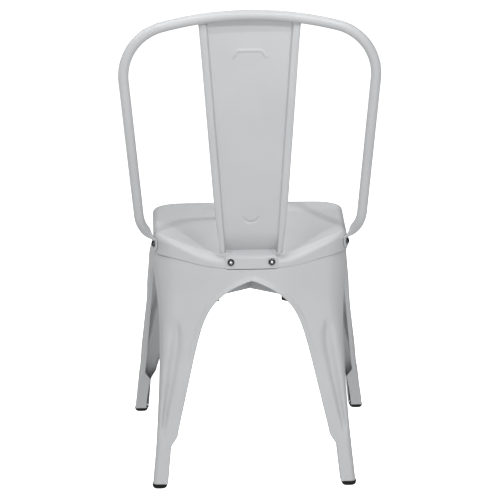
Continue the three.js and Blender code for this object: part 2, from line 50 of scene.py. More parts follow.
SEAT_FRONT_Z = 446.0  # highest line of the seat, along its front edge
SEAT_TILT = 3 / 340  # the rim falls this much per millimetre towards the rear
SEAT_MID_Y = -8.0  # where the front and rear legs meet along each side
SEAT_MID_X = 179.5  # half width of the seat there
SIDE_SLOPE = 0.043  # the seat narrows this much per millimetre towards the rear
SCOOP = 31.0  # how far the rear edge dips at its middle
SCOOP_FLAT = 50.0  # half width over which the seat's dish is deepest
SCOOP_FADE = 125.0  # beyond that, the dish runs out over this width
SKIRT_Z = 415.0  # lower edge of the skirt at the front
SKIRT_TILT = 5 / 340
SKIRT_SCOOP = 19.0
RIM_ROLL = 9.0  # width and height of the rolled edge between the seat top and its skirt
REAR_ROLL_W = 21.0  # width and height of the broader roll along the middle of the rear
REAR_ROLL_H = 17.0
DRAIN_R = 5.0
REAR_PLAN = dict(y=134.0, fillet=34.0, bow=34.0)
FRONT_PLAN = dict(y=186.0, fillet=56.0, bow=4.0)

SKIRT_LAP = 5.0  # the legs reach this far up inside the skirt
LEG_TOP_Z = 410.0  # the legs' section is the seat's plan from here up
METAL_Z = 9.0  # lower end of the legs' metal
TUBE_W = 27.5  # the lower leg, folded to a nearly closed square tube
TUBE_Z = 70.0  # the wings of the leg begin to open above this height
WING_Z = 96.0  # and are fully open here
FLANGE = 7.0  # turned-in edge of the wings
REAR_FOOT = (170.0, 217.5)
FRONT_FOOT = (223.5, 240.5)
FOOT_R = 13.0
FRONT_LEAN = 0.0985  # the front legs come in by this much per millimetre of height
KNEE_Z = 300.0  # the rear legs turn out below this height, by KNEE_OUT at the floor, and above it
KNEE_X = 163.5
KNEE_OUT = 20.0
REAR_ARCH_Z = 368.0  # tops of the arches between the legs
FRONT_ARCH_Z = 368.0
SIDE_ARCH_Z = 358.0
ARCH_SLOPE = 0.47  # part of an arch's half width lost to its straight slope

HOOP_R = 9.0
HOOP_TOP_Z = 842.0  # centre line
HOOP_TOP_Y = 245.0
HOOP_LOW_Y = 133.0  # the hoop's leaning plane passes through this line
HOOP_LOW_Z = 430.0
HOOP_HALF = 216.0  # centre line at the widest place
HOOP_CORNER_R = 90.0
HOOP_CORNER_Z = 736.0
HOOP_LEAN = math.radians(3.9)  # the uprights come in towards their feet
HOOP_BEND_Z = 485.0  # and bend towards the seat below this height
BOLT_Z = 427.0
BOLT_TURN = math.radians(24)  # the skirt faces this far from +X towards +Y there
TAB = dict(thick=3.0, wide=20.0, rise=8.0, drop=12.0, off=1.4)  # the hoop's flattened ends

SPLAT_TOP = dict(z=832.0, y=241.0, half=84.0)
SPLAT_LOW = dict(z=440.0, y=175.5, half=58.5)
RIM_W = 11.0  # width of the raised side rims
RIM_END_Z = 418.5
PANEL_STEP = 4.8  # how far the panel lies in front of the rims
TUCK = 12.0  # and how much further at the crease, where it turns into the tab
TUCK_Z = 458  # where it begins to
CREASE_Z = 421.5
CREASE_HALF = 32.0
FOOT_TAPER = 4.0  # extra narrowing of each side of the splat at its foot
SHOULDER_Z = 409.5  # the tab has its full width below this height
TAB_HALF = 46.5
TAB_Z = 389.5
TAB_GAP = 0.7  # between the tab and the skirt
SCREW_X = 36.5
SCREW_Z = 401.5
SCREW_HEAD_R = 6.2
SCREW_HEAD_H = 3.8

BRACE_Z = 313.0  # lower edge of the crossed brace
BRACE_H = 24.0
BRACE_T = 2.5
BUMPER_AT = 96.0  # along each arm, from the crossing
BUMPER_DROP = 10.0  # below the brace's lower edge


def side_name(s):
    return "left" if s > 0 else "right"


def corner_name(front, s):
    return ("front_" if front else "rear_") + side_name(s)


def mix(a, b, t):
    return a + (b - a) * t


def smooth(x, a, b):
    t = np.clip((np.asarray(x, float) - a) / (b - a), 0, 1)
    return t * t * (3 - 2 * t)


def bump(x, centre, width):
    return np.exp(-(((x - centre) / width) ** 2))


def unit(v):
    return v / np.maximum(np.linalg.norm(v, axis=-1, keepdims=True), 1e-9)


# ---- meshes ----
def mesh_object(name, verts, faces, sharp=40):
    mesh = bpy.data.meshes.new(name)
    mesh.from_pydata((np.asarray(verts, float) / 1000).tolist(), [], [list(map(int, f)) for f in faces])
    mesh.update()
    mesh.polygons.foreach_set("use_smooth", [True] * len(mesh.polygons))
    mesh.set_sharp_from_angle(angle=math.radians(sharp))
    obj = bpy.data.objects.new(name, mesh)
    bpy.context.scene.collection.objects.link(obj)
    return obj


def sheet_mesh(name, rows, thickness, wrap=False, flip=False, keep=None, sharp=40):
    """A sheet from its outer face: rows (m, n, 3), thickened against the normal, with half-round edges.

    wrap joins the last column to the first, flip turns the outer face round, and keep (m - 1, n - 1) says
    which cells of the grid are there.
    """
    p = np.asarray(rows, float)
    m, n, _ = p.shape
    cols = n if wrap else n - 1
    i, j = np.meshgrid(np.arange(m - 1), np.arange(cols), indexing="ij")
    k = (j + 1) % n
    quads = np.stack([i * n + j, i * n + k, (i + 1) * n + k, (i + 1) * n + j], -1)
    quads = quads[keep] if keep is not None else quads.reshape(-1, 4)
    if flip:
        quads = quads[:, ::-1]
    used, quads = np.unique(quads, return_inverse=True)
    quads = quads.reshape(-1, 4)
    pts = p.reshape(-1, 3)[used]
    count = len(pts)
    across = np.cross(pts[quads[:, 2]] - pts[quads[:, 0]], pts[quads[:, 3]] - pts[quads[:, 1]])
    normal = np.zeros_like(pts)
    for corner in range(4):
        np.add.at(normal, quads[:, corner], unit(across))
    normal = unit(normal)
    inner = pts - normal * thickness
    # border edges run along one quad only; each border point gets a rounded edge between the two faces
    edges = np.concatenate([quads[:, [0, 1]], quads[:, [1, 2]], quads[:, [2, 3]], quads[:, [3, 0]]])
    code = edges[:, 0] * count + edges[:, 1]
    border = edges[~np.isin(code, edges[:, 1] * count + edges[:, 0])]
    away = unit(np.cross(pts[border[:, 1]] - pts[border[:, 0]], normal[border[:, 0]]))
    out = np.zeros_like(pts)
    np.add.at(out, border[:, 0], away)
    np.add.at(out, border[:, 1], away)
    rim = np.unique(border)
    at = np.full(count, -1)
    at[rim] = 2 * count + np.arange(len(rim))
    edge = 0.5 * (pts[rim] + inner[rim]) + unit(out[rim]) * thickness * 0.32
    a, b = border[:, 0], border[:, 1]
    faces = [quads, quads[:, ::-1] + count, np.stack([b, a, at[a], at[b]], 1),
             np.stack([at[b], at[a], a + count, b + count], 1)]
    return mesh_object(name, np.concatenate([pts, inner, edge]), np.concatenate(faces), sharp)


def fix_normals(obj):
    """Turns all faces outwards."""
    bm = bmesh.new()
    bm.from_mesh(obj.data)
    bmesh.ops.recalc_face_normals(bm, faces=bm.faces)
    bm.to_mesh(obj.data)
    bm.free()
    return obj


def tube_mesh(name, rings, sharp=50):
    """A skin over rings (m, n, 3), with each end closed by a fan round its middle."""
    p = np.asarray(rings, float)
    m, n, _ = p.shape
    a = (np.arange(m - 1)[:, None] * n + np.arange(n)[None, :]).ravel()
    b = (np.arange(m - 1)[:, None] * n + (np.arange(n)[None, :] + 1) % n).ravel()
    faces = np.stack([a, a + n, b + n, b], 1).tolist()
    verts = np.concatenate([p.reshape(-1, 3), p[:1].mean(1), p[-1:].mean(1)])
    start, end = m * n, m * n + 1
    for j in range(n):
        k = (j + 1) % n
        faces.append([start, j, k])
        faces.append([end, (m - 1) * n + k, (m - 1) * n + j])
    return fix_normals(mesh_object(name, verts, faces, sharp))


def frame_matrix(axis, spin=0.0):
    """Columns: two directions across axis, and axis. The first leans towards +Z, turned by spin degrees."""
    w = unit(np.asarray(axis, float))
    u = np.array([0, 0, 1.0])
    u = unit(u - w * (u @ w))
    v = np.cross(w, u)
    c, s = math.cos(math.radians(spin)), math.sin(math.radians(spin))
    return np.stack([c * u + s * v, c * v - s * u, w], 1)


def turned_mesh(name, profile, base, axis, sides=48, cut=None, spin=0.0, sharp=35):
    """A turned piece of profile (radius, height).

    cut(x, y, r, h) gives how far a point of its face is pressed in.
    """
    prof = np.asarray(profile, float)
    ang = np.arange(sides) / sides * 2 * np.pi
    x = prof[:, :1] * np.cos(ang)
    y = prof[:, :1] * np.sin(ang)
    h = np.repeat(prof[:, 1:2], sides, 1)
    if cut is not None:
        h = h - cut(x, y, prof[:, :1], h)
    local = np.stack([x, y, h], -1)
    world = local @ frame_matrix(axis, spin).T + np.asarray(base, float)
    return tube_mesh(name, world, sharp)


def nut_mesh(name, across, bore, height, centre, axis, spin=0.0):
    """A hexagon nut with chamfered corners and bore."""
    n = 72
    ang = np.arange(n) / n * 2 * np.pi
    hexagon = across / 2 / np.cos((ang + math.pi / 6) % (math.pi / 3) - math.pi / 6)
    h = height / 2
    chamfer = 0.5
    face_reach, side_reach = across * 0.5 - 0.1, across * 0.5 + 0.75  # of the corners, cut by the chamfer
    rings = []
    for z in (-h, h):
        s = 1 if z > 0 else -1
        outer = [(np.minimum(hexagon, face_reach), z), (np.minimum(hexagon, side_reach), z - s * chamfer)]
        inner = [(np.full(n, bore), z - s * chamfer), (np.full(n, bore + chamfer), z)]
        rings += outer[::-1] + inner[::-1] if s > 0 else inner + outer
    p = np.array([np.stack([r * np.cos(ang), r * np.sin(ang), np.full(n, z)], 1) for r, z in rings])
    p = p @ frame_matrix(axis, spin).T + np.asarray(centre, float)
    m = len(p)
    faces = [[i * n + j, ((i + 1) % m) * n + j, ((i + 1) % m) * n + (j + 1) % n, i * n + (j + 1) % n]
             for i in range(m) for j in range(n)]
    return fix_normals(mesh_object(name, p.reshape(-1, 3), faces, 25))


# ---- the seat's plan and surface, as in the CAD ----
def scoop_across(x):
    """The seat's dish from side to side: 1 in the middle and 0 at the sides."""
    return 0.5 + 0.5 * np.cos(np.pi * np.clip((np.abs(x) - SCOOP_FLAT) / SCOOP_FADE, 0, 1))


def seat_top_z(x, y):
    return SEAT_FRONT_Z - SEAT_TILT * (y + FRONT_PLAN["y"]) - SCOOP * scoop_across(x) * smooth(y, -170, 175)


def skirt_z(x, y):
    return SKIRT_Z - SKIRT_TILT * (y + FRONT_PLAN["y"]) - SKIRT_SCOOP * scoop_across(x) * smooth(y, 60, 160)


def plan_of(front):
    """The front or rear half of the seat's plan: x is the half width at its corners."""
    plan = FRONT_PLAN if front else REAR_PLAN
    run = plan["y"] + SEAT_MID_Y if front else -(plan["y"] - SEAT_MID_Y)
    return dict(x=SEAT_MID_X + SIDE_SLOPE * run, y=plan["y"], lean=-SIDE_SLOPE if front else SIDE_SLOPE,
                fillet=plan["fillet"], bow=plan["bow"])


def quarter(k, side_end, end_end, counts):
    """Quarter outline in plan, from the middle of the side to the middle of the end, outward x and y."""
    x, y, lean, fillet, bow = k["x"], k["y"], k["lean"], k["fillet"], k["bow"]
    side = lambda v: np.stack([x + lean * (y - v), v + 0 * v], -1)
    end = lambda u: np.stack([u, y + bow * (1 - (u / x) ** 2)], -1)
    a = side(np.array([y - fillet]))[0]
    b = end(np.array([x - fillet]))[0]
    c1 = a + 0.56 * fillet * np.array([-lean, 1])
    c2 = b + 0.56 * fillet * np.array([1, -2 * bow * (x - fillet) / x ** 2])
    t = np.linspace(0, 1, counts[1] + 1)[:, None]
    curve = (1 - t) ** 3 * a + 3 * t * (1 - t) ** 2 * c1 + 3 * t * t * (1 - t) * c2 + t ** 3 * b
    s = side(mix(side_end, y - fillet, np.arange(counts[0]) / counts[0]))
    e = end(mix(x - fillet, end_end, (np.arange(counts[2]) + 1) / counts[2]))
    return np.concatenate([s, curve, e])


def seat_outline():
    """The whole outline as a closed loop of points, evenly spaced."""
    rear = quarter(plan_of(False), SEAT_MID_Y, 0.0, (40, 60, 60))
    front = quarter(plan_of(True), -SEAT_MID_Y, 0.0, (60, 60, 60))
    front = front * [1, -1]
    half = np.concatenate([rear[::-1], front[1:]])
    loop = np.concatenate([half, (half[1:-1] * [-1, 1])[::-1]])
    closed = np.concatenate([loop, loop[:1]])
    run = np.concatenate([[0], np.cumsum(np.linalg.norm(np.diff(closed, axis=0), axis=1))])
    at = np.linspace(0, run[-1], 361)[:-1]
    return np.stack([np.interp(at, run, closed[:, i]) for i in range(2)], 1)


def inset_loop(loop, d):
    """The loop moved inwards by d."""
    along = unit(np.roll(loop, -1, 0) - np.roll(loop, 1, 0))
    return loop + np.stack([along[:, 1], -along[:, 0]], 1) * d


def build_seat():
    loop = seat_outline()
    # the edge rolls over broadly along the middle of the rear and tightly elsewhere, as a cubic curve
    # that leaves along the seat's slope and ends straight down
    broad = smooth(loop[:, 1:], 60, 150) * (1 - smooth(np.abs(loop[:, :1]), 40, 170))
    roll = mix(RIM_ROLL, REAR_ROLL_W, broad)
    roll_h = mix(RIM_ROLL, REAR_ROLL_H, broad)[:, 0]
    flat = inset_loop(loop, roll)
    reach = np.linalg.norm(flat, axis=1, keepdims=True)
    rings = []
    # the drain hole's edge is drawn down
    for f, drop in ((0.0, 2.2), (0.004, 1.0), (0.010, 0.3)):
        q = flat / reach * mix(DRAIN_R, reach, f)
        rings.append(np.c_[q, seat_top_z(q[:, 0], q[:, 1]) - drop])
    for f in np.concatenate([np.linspace(0.02, 0.9, 60), np.linspace(0.912, 1, 9)]):
        q = flat / reach * mix(DRAIN_R, reach, f)
        rings.append(np.c_[q, seat_top_z(q[:, 0], q[:, 1])])
    edge_z = seat_top_z(flat[:, 0], flat[:, 1])
    further = inset_loop(loop, roll + 2)
    slope = (seat_top_z(further[:, 0], further[:, 1]) - edge_z) / 2
    for t in np.linspace(0, 1, 15)[1:]:
        keep_in = (1 - t) ** 3 + 3 * t * (1 - t) ** 2 * 0.45
        on_slope = 3 * t * (1 - t) ** 2 * 0.55 * slope * roll[:, 0]
        drop = on_slope + 3 * t * t * (1 - t) * 0.45 * roll_h + t ** 3 * roll_h
        rings.append(np.c_[inset_loop(loop, roll * keep_in), edge_z - drop])
    foot = skirt_z(loop[:, 0], loop[:, 1])
    for f in np.linspace(0, 1, 9)[1:]:
        rings.append(np.c_[loop, mix(edge_z - roll_h, foot, f)])
    return sheet_mesh("seat_pan_skin", np.array(rings), SHEET, wrap=True, flip=True)


# ---- legs ----
def arch_reach(z, crown, span):
    """Half width of an arch at height z: a straight slope, and a tight curve at the crown."""
    w = np.clip((z - WING_Z) / (crown - WING_Z), 0, 1)
    return span * (1 - ARCH_SLOPE * w - (1 - ARCH_SLOPE) * w ** 9)


def side_mid_x(z):
    """Half width of the legs where the front and rear ones meet."""
    return mix(SEAT_MID_X, SEAT_MID_X - SHEET - GAP, smooth(z, 340, LEG_TOP_Z))


def leg_corner(z, front):
    """The leg's corner at height z: its outward x and y, fillet and the bow of its end wing."""
    top = plan_of(front)
    inset = SHEET + GAP
    fy = (FRONT_FOOT if front else REAR_FOOT)[1]
    y = mix(fy + FOOT_R, top["y"] - inset, min(z / LEG_TOP_Z, 1))
    fillet = mix(9, top["fillet"], float(smooth(z, 120, LEG_TOP_Z)))
    if front:
        x = mix(FRONT_FOOT[0] + FOOT_R - FRONT_LEAN * z, top["x"] - inset, float(smooth(z, 350, LEG_TOP_Z)))
        bow = FRONT_PLAN["bow"] * float(smooth(z, 200, LEG_TOP_Z))
    else:
        x = mix(KNEE_X, top["x"] - inset, float(smooth(z, KNEE_Z, LEG_TOP_Z)))
        x += KNEE_OUT * max(1 - z / KNEE_Z, 0) ** 1.7
        bow = REAR_PLAN["bow"] * float(np.clip((z - 215) / (LEG_TOP_Z - 215), 0, 1)) ** 1.1
    return dict(x=x, y=y, fillet=fillet, bow=bow)


EDGE_STEPS = np.array([0, 1, 2, 3.2, 4.6, 6, 7.5, 9, 10.5, 12, 14, 16, 19])  # from a wing's edge
BEND_R = 2.4
BEND_ANGLES = np.radians([18, 36, 54, 72, 90])
FLAT_STEPS = (0.33, 0.66, 1.0)
FLANGE_POINTS = len(BEND_ANGLES) + len(FLAT_STEPS)
FLARE = 5.0  # how far the lip of an arch stands out at its crown
LIP_Z = 262  # where it begins
LIP_W = 13.0  # and how far it reaches from the edge
GROOVE = 0.8  # depth of the groove along the foot of the lip
GROOVE_AT = 10.9  # from the edge
FLUTE = 5.4  # depth of the flute beside the corner roll
FLUTE_LOW = (84, 125)  # heights between which it fades in
FLUTE_HIGH = (268, 300)  # and out


def resample(line, n_mid):
    """Points on a polyline: EDGE_STEPS from both ends, squeezed where it is short, and even steps between."""
    run = np.concatenate([[0], np.cumsum(np.linalg.norm(np.diff(line, axis=0), axis=1))])
    total = run[-1]
    q = min(1.0, total / 95)
    near = EDGE_STEPS * q
    at = np.concatenate([near, np.linspace(near[-1], total - near[-1], n_mid)[1:-1], total - near[::-1]])
    return np.stack([np.interp(at, run, line[:, i]) for i in range(2)], 1), at


def leg_row(z, front):
    """One row of the leg's outer face at height z, from flange tip to flange tip, in outward x and y."""
    k = leg_corner(z, front)
    mid_y = -SEAT_MID_Y if front else SEAT_MID_Y
    crown = FRONT_ARCH_Z if front else REAR_ARCH_Z
    wing = leg_corner(WING_Z, front)
    opened = float(smooth(z, TUBE_Z, WING_Z))
    end_span, side_span = wing["x"] - 38, wing["y"] - 38 - mid_y
    end_reach = max(arch_reach(z, crown, end_span), 0.02)
    side_reach = max(arch_reach(z, SIDE_ARCH_Z, side_span), 0.02)
    r_end = BEND_R * min(1.0, end_reach / 4)
    r_side = BEND_R * min(1.0, side_reach / 4)
    end_end = mix(k["x"] - TUBE_W, end_reach, opened) + r_end
    side_end = mix(k["y"] - TUBE_W, mid_y + side_reach, opened) + r_side
    k["lean"] = float(smooth(z, 20, 110)) * (side_mid_x(z) - k["x"]) / (k["y"] - mid_y)
    line, at = resample(quarter(k, side_end, end_end, (60, 40, 60)), 62)
    along = unit(np.gradient(line, axis=0))
    normal = np.stack([along[:, 1], -along[:, 0]], 1)
    # the ridge is where the outline reaches furthest along the corner's diagonal
    c = int(np.argmax(line.sum(1)))
    shape = leg_relief(z, line, c, mid_y, (side_span, end_span), (SIDE_ARCH_Z, crown), at - at[c])
    line = line + normal * shape[:, None]
    turn = mix(TUBE_W - 5, FLANGE, opened)
    first = flange(line[0], -along[0], np.array([-1.0, 0]), normal[0], r_side, turn)
    last = flange(line[-1], along[-1], np.array([0, -1.0]), normal[-1], r_end, turn)
    return np.concatenate([first[::-1], line, last])


def flange(edge, onward, inward, normal, r, depth):
    """Points after the edge of a wing: a quarter bend of radius r, then the flat turned-in flange."""
    centre = edge - normal * r
    bend = [centre + r * (math.cos(a) * normal + math.sin(a) * onward) for a in BEND_ANGLES]
    return np.array(bend + [bend[-1] + inward * (depth - r) * f for f in FLAT_STEPS])


def arch_distance(u, z, crown, span):
    """Distance of points (u, z) of a wing from the edge of its arch, whose middle is at u = 0."""
    zs = np.concatenate([np.linspace(WING_Z, crown - 30, 60), np.linspace(crown - 29, crown, 50)])
    us = np.maximum(arch_reach(zs, crown, span), 0)
    off = np.sqrt(np.asarray(u) ** 2 + 36)  # rounds the peak over the crown
    d = np.hypot(off[:, None] - us[None, :], z - zs[None, :])
    k = d.argmin(1)
    return d[np.arange(len(d)), k], zs[k]


def leg_relief(z, line, c, mid_y, spans, crowns, from_corner):
    """How far the pressed shapes push the leg's face outwards: flared lips, grooves beside them, flutes."""
    out = np.zeros(len(line))
    index = np.arange(len(line))
    for on, u, span, crown, lipped in ((index < c, line[:, 1] - mid_y, spans[0], crowns[0], 0.5),
                                       (index >= c, line[:, 0], spans[1], crowns[1], 1.0)):
        dist, near_z = arch_distance(u, z, crown, span)
        flare = FLARE * lipped * smooth(near_z, LIP_Z, crown - 2)
        lip = flare * (1 - smooth(dist, 0.5, LIP_W)) ** 1.3
        groove = GROOVE * smooth(near_z, 200, 240) * (1 - smooth(near_z, 322, 345))
        out += on * (lip - groove * bump(dist, GROOVE_AT, 1.7))
    # the flute beside the corner roll, on both wings: steep towards the wing, gentle towards the roll
    depth = FLUTE * smooth(z, *FLUTE_LOW) * (1 - smooth(z, *FLUTE_HIGH))
    middle = mix(7.0, 25.0, float(np.clip((z - 85) / 160, 0, 1)))
    steep = mix(3.5, 7.5, float(smooth(z, 95, 240))) * (1 - 0.6 * float(smooth(z, 262, 300)))
    gentle = mix(5.0, 12.0, float(smooth(z, 95, 240)))
    for side in (-1, 1):
        d = from_corner * side - middle
        out = out - depth * np.where(d > 0, bump(d, 0, steep), bump(d, 0, gentle))
    return out


# heights of a leg's rows, close together where the wings open and at the arches' crowns
LEG_Z = np.concatenate([np.linspace(METAL_Z, 66, 16), np.arange(69, 102, 1.5), np.arange(103, 300, 4.0),
                        np.arange(302, 342, 2.0), np.arange(342, 372.5, 1.0)])
FLUSH = 1.5  # how far the face stands out just under the skirt's edge
SLOT_DEPTH = 1.2  # and how far in it lies in the slot under the splat's tab


def build_leg(front, sx):
    sy = -1 if front else 1
    levels = np.concatenate([LEG_Z, np.arange(374, LEG_TOP_Z + 4.1, 2.0)])
    table = np.array([leg_row(float(z), front) for z in levels])
    edge = skirt_z(table[-1][:, 0] * sx, table[-1][:, 1] * sy)
    last = float(LEG_Z[-1])
    heights = [np.full_like(edge, z) for z in LEG_Z]
    heights += [mix(last, edge - 3.9, f) for f in np.linspace(0, 1, 12)[1:]]
    heights += [edge - d for d in (3.4, 3.0, 2.6, 2.0, 1.5, 1.0, 0.6, 0.2, -0.4, -2.0, -SKIRT_LAP)]
    rows = []
    for z in heights:
        q = np.array([[np.interp(z[j], levels, table[:, j, k]) for k in (0, 1)] for j in range(len(z))])
        along = unit(np.gradient(q, axis=0))
        # under the skirt's edge the face stands out, almost flush with the skirt
        out = FLUSH * smooth(z, 340, 384) * (1 - smooth(z, edge - 1.2, edge + 0.2))
        if not front:  # a slot stays open under the splat's tab
            near_tab = smooth(np.abs(q[:, 0]), TAB_HALF + 0.5, TAB_HALF - 3)
            out -= (out + SLOT_DEPTH) * near_tab * smooth(z, edge - 3.6, edge - 2.6)
        normal = np.stack([along[:, 1], -along[:, 0]], 1)
        n = FLANGE_POINTS + 1
        normal[:n], normal[-n:] = normal[n], normal[-n - 1]
        q = q + normal * out[:, None]
        rows.append(np.c_[q * [sx, sy], z])
    return sheet_mesh("leg_skin_" + corner_name(front, sx), np.array(rows), SHEET, flip=sx * sy < 0)


def foot_centre(front, sx):
    f = FRONT_FOOT if front else REAR_FOOT
    return np.array([sx * f[0], (-1 if front else 1) * f[1], 0.0])


def build_foot(front, sx):
    """A moulded cap: a rounded square in plan with a slightly domed tread and a plug up inside the leg."""
    tread = [(4, 0.1), (7.5, 0.0), (9.4, 0.4), (11.0, 1.4), (12.3, 2.9), (13.2, 4.6), (13.6, 6.2)]
    collar = [(13.6, 7.5), (13.3, 8.1), (12.5, 8.4), (8.4, 8.5)]
    plug = [(8.2, 11), (7.8, 15), (7.2, 16), (5, 16.3)]
    ang = np.arange(56) / 56 * 2 * np.pi
    power = 3.6  # 2 is a circle, and a higher power is squarer
    square = (np.abs(np.cos(ang)) ** power + np.abs(np.sin(ang)) ** power) ** (-1 / power)
    rings = []
    for r, h in tread + collar + plug:
        rings.append(np.stack([r * square * np.cos(ang), r * square * np.sin(ang), np.full(56, h)], 1))
    base = foot_centre(front, sx)
    return tube_mesh("foot_cap_" + corner_name(front, sx), np.array(rings) + base, 40)


# ---- back hoop ----
def bolt_axis(s):
    return np.array([s * math.cos(BOLT_TURN), math.sin(BOLT_TURN), 0.0])


def bolt_point(s):
    """Where the bolt's axis meets the seat's skirt, at the outermost point of the rear corner."""
    axis = bolt_axis(1)
    outline = quarter(plan_of(False), SEAT_MID_Y, 0.0, (1, 60, 1))
    p = outline[int(np.argmax(outline @ axis[:2]))]
    return np.array([s * p[0], p[1], BOLT_Z])


def hoop_y(z):
    """The hoop's leaning plane."""
    return mix(HOOP_LOW_Y, HOOP_TOP_Y, (z - HOOP_LOW_Z) / (HOOP_TOP_Z - HOOP_LOW_Z))


def hoop_top_r():
    """Radius of the hoop's wide top arc, which joins the corner arcs smoothly."""
    cx, drop = HOOP_HALF - HOOP_CORNER_R, HOOP_TOP_Z - HOOP_CORNER_Z
    return (cx ** 2 + drop ** 2 - HOOP_CORNER_R ** 2) / (2 * (drop - HOOP_CORNER_R))


def hoop_half(s):
    """Centre line of half the hoop from its top to its bolted end, with how flat it is at each point."""
    cx, drop, top_r = HOOP_HALF - HOOP_CORNER_R, HOOP_TOP_Z - HOOP_CORNER_Z, hoop_top_r()
    join = math.atan2(cx, top_r - drop)
    crown = [join * i / 18 for i in range(18)]
    pts = [(top_r * math.sin(a), HOOP_TOP_Z - top_r * (1 - math.cos(a))) for a in crown]
    for i in range(37):
        a = mix(math.pi / 2 - join, -HOOP_LEAN, i / 36)
        pts.append((cx + HOOP_CORNER_R * math.cos(a), HOOP_CORNER_Z + HOOP_CORNER_R * math.sin(a)))
    x0, z0 = pts[-1]
    pts += [(x0 - (z0 - z) * math.tan(HOOP_LEAN), z) for z in np.linspace(z0, HOOP_BEND_Z, 20)[1:]]
    path = [np.array([s * x, hoop_y(z), z]) for x, z in pts]
    bolt = bolt_point(s) + bolt_axis(s) * (TAB["off"] + TAB["thick"] / 2)
    top = bolt + [0, 0, TAB["rise"]]
    p0, p3 = path[-1], top
    p1, p2 = p0 + [-s * 2, -7, -24], top + bolt_axis(s) * 12 + [0, 0, 14]
    t = np.linspace(0, 1, 33)[1:, None]
    bend = (1 - t) ** 3 * p0 + 3 * t * (1 - t) ** 2 * p1 + 3 * t * t * (1 - t) * p2 + t ** 3 * p3
    tab = [top + [0, 0, -d] for d in np.linspace(0, TAB["rise"] + TAB["drop"], 14)[1:]]
    flat = np.concatenate([np.zeros(len(path)), smooth(t[:, 0], 0.5, 1.0), np.ones(len(tab))])
    return np.concatenate([path, bend, tab]), flat


def build_hoop():
    left, flat_l = hoop_half(1)
    right, flat_r = hoop_half(-1)
    path = np.concatenate([left[::-1], right[1:]])
    flat = np.concatenate([flat_l[::-1], flat_r[1:]])
    tangent = unit(np.gradient(path, axis=0))
    back = unit(np.array([0, HOOP_TOP_Z - HOOP_LOW_Z, HOOP_LOW_Y - HOOP_TOP_Y]))
    rings = []
    n = 40
    ang = np.arange(n) / n * 2 * np.pi
    total = len(path)
    end_at = np.minimum(np.arange(total), total - 1 - np.arange(total))
    for i, (p, t, f) in enumerate(zip(path, tangent, flat)):
        outward = bolt_axis(1 if p[0] > 0 else -1)
        thin = unit(np.cross(t, back))
        if thin @ outward < 0:
            thin = -thin
        d = mix(thin, outward, f)
        d = unit(d - t * (d @ t))
        wide = np.cross(t, d)
        a = mix(HOOP_R, TAB["thick"] / 2, f)
        b = mix(HOOP_R, TAB["wide"] / 2, f)
        if end_at[i] < 6:  # the tab's end is rounded
            b *= math.sqrt(max(1 - ((6 - end_at[i]) / 6.3) ** 2, 0.02))
        power = mix(2.0, 5.0, f)
        c, s = np.cos(ang), np.sin(ang)
        cc = np.sign(c) * np.abs(c) ** (2 / power)
        ss = np.sign(s) * np.abs(s) ** (2 / power)
        rings.append(p + np.outer(a * cc, d) + np.outer(b * ss, wide))
    return tube_mesh("back_hoop_tube", np.array(rings), 50)


# ---- back splat ----
BRACKET_Z = 781  # heights of the pressed marks
ARC_Z = 489
MARK_OUT = 1.4  # the bracket is raised and the arc is sunk
MARK_IN = 1.7


def splat_line(z, key):
    return mix(SPLAT_LOW[key], SPLAT_TOP[key], (z - SPLAT_LOW["z"]) / (SPLAT_TOP["z"] - SPLAT_LOW["z"]))


def skirt_y(x):
    """Outer face of the seat's rear skirt."""
    return REAR_PLAN["y"] + REAR_PLAN["bow"] * (1 - (x / plan_of(False)["x"]) ** 2)


def tab_y(x):
    """Outer face of the splat's tab."""
    return skirt_y(x) + TAB_GAP + SHEET


def stroke(x, z, start, end, width):
    """Height of a rounded pressed line between two points of the panel."""
    (x0, z0), (x1, z1) = start, end
    t = np.clip(((x - x0) * (x1 - x0) + (z - z0) * (z1 - z0)) / ((x1 - x0) ** 2 + (z1 - z0) ** 2), 0, 1)
    return bump(np.hypot(x - mix(x0, x1, t), z - mix(z0, z1, t)), 0, width)


def emboss(x, z):
    """The pressed marks of the splat: a bracket near its top and a small arc near its foot."""
    ax = np.abs(x)
    bar = stroke(ax, z, (-1, BRACKET_Z), (19, BRACKET_Z), 2.2)
    leg = stroke(ax, z, (21, BRACKET_Z - 1), (28, BRACKET_Z - 11), 2.2)
    arc = bump(np.hypot(x, z - ARC_Z), 14, 1.9) * smooth(ARC_Z - z, 2, 8)
    return MARK_OUT * np.maximum(bar, leg) - MARK_IN * arc


def splat_half(z):
    """Half the splat's width; it narrows a little more towards the foot."""
    return float(splat_line(z, "half")) - FOOT_TAPER * float(np.clip((530 - z) / 112, 0, 1)) ** 1.5


def splat_body_row(us, z):
    """The panel and its raised rims at height z."""
    half, y = splat_half(z), float(splat_line(z, "y"))
    inner = float(splat_line(z, "half")) - RIM_W
    x = us * half
    ax = np.abs(x)
    tuck = TUCK * (float(np.clip(TUCK_Z - z, 0, 40)) / (TUCK_Z - CREASE_Z)) ** 1.8
    on_panel = 1 - smooth(ax, inner - 2.2, inner + 1.2)
    crown = 0.9 * (1 - ((ax - (half + inner) / 2) / ((half - inner) / 2)) ** 2).clip(0, 1)
    yy = y - (PANEL_STEP + tuck) * on_panel + crown + emboss(x, np.full_like(x, z)) * on_panel
    drop = x ** 2 / (2 * hoop_top_r()) * float(smooth(z, 770, SPLAT_TOP["z"]))
    return np.stack([x, yy, z - drop], 1)


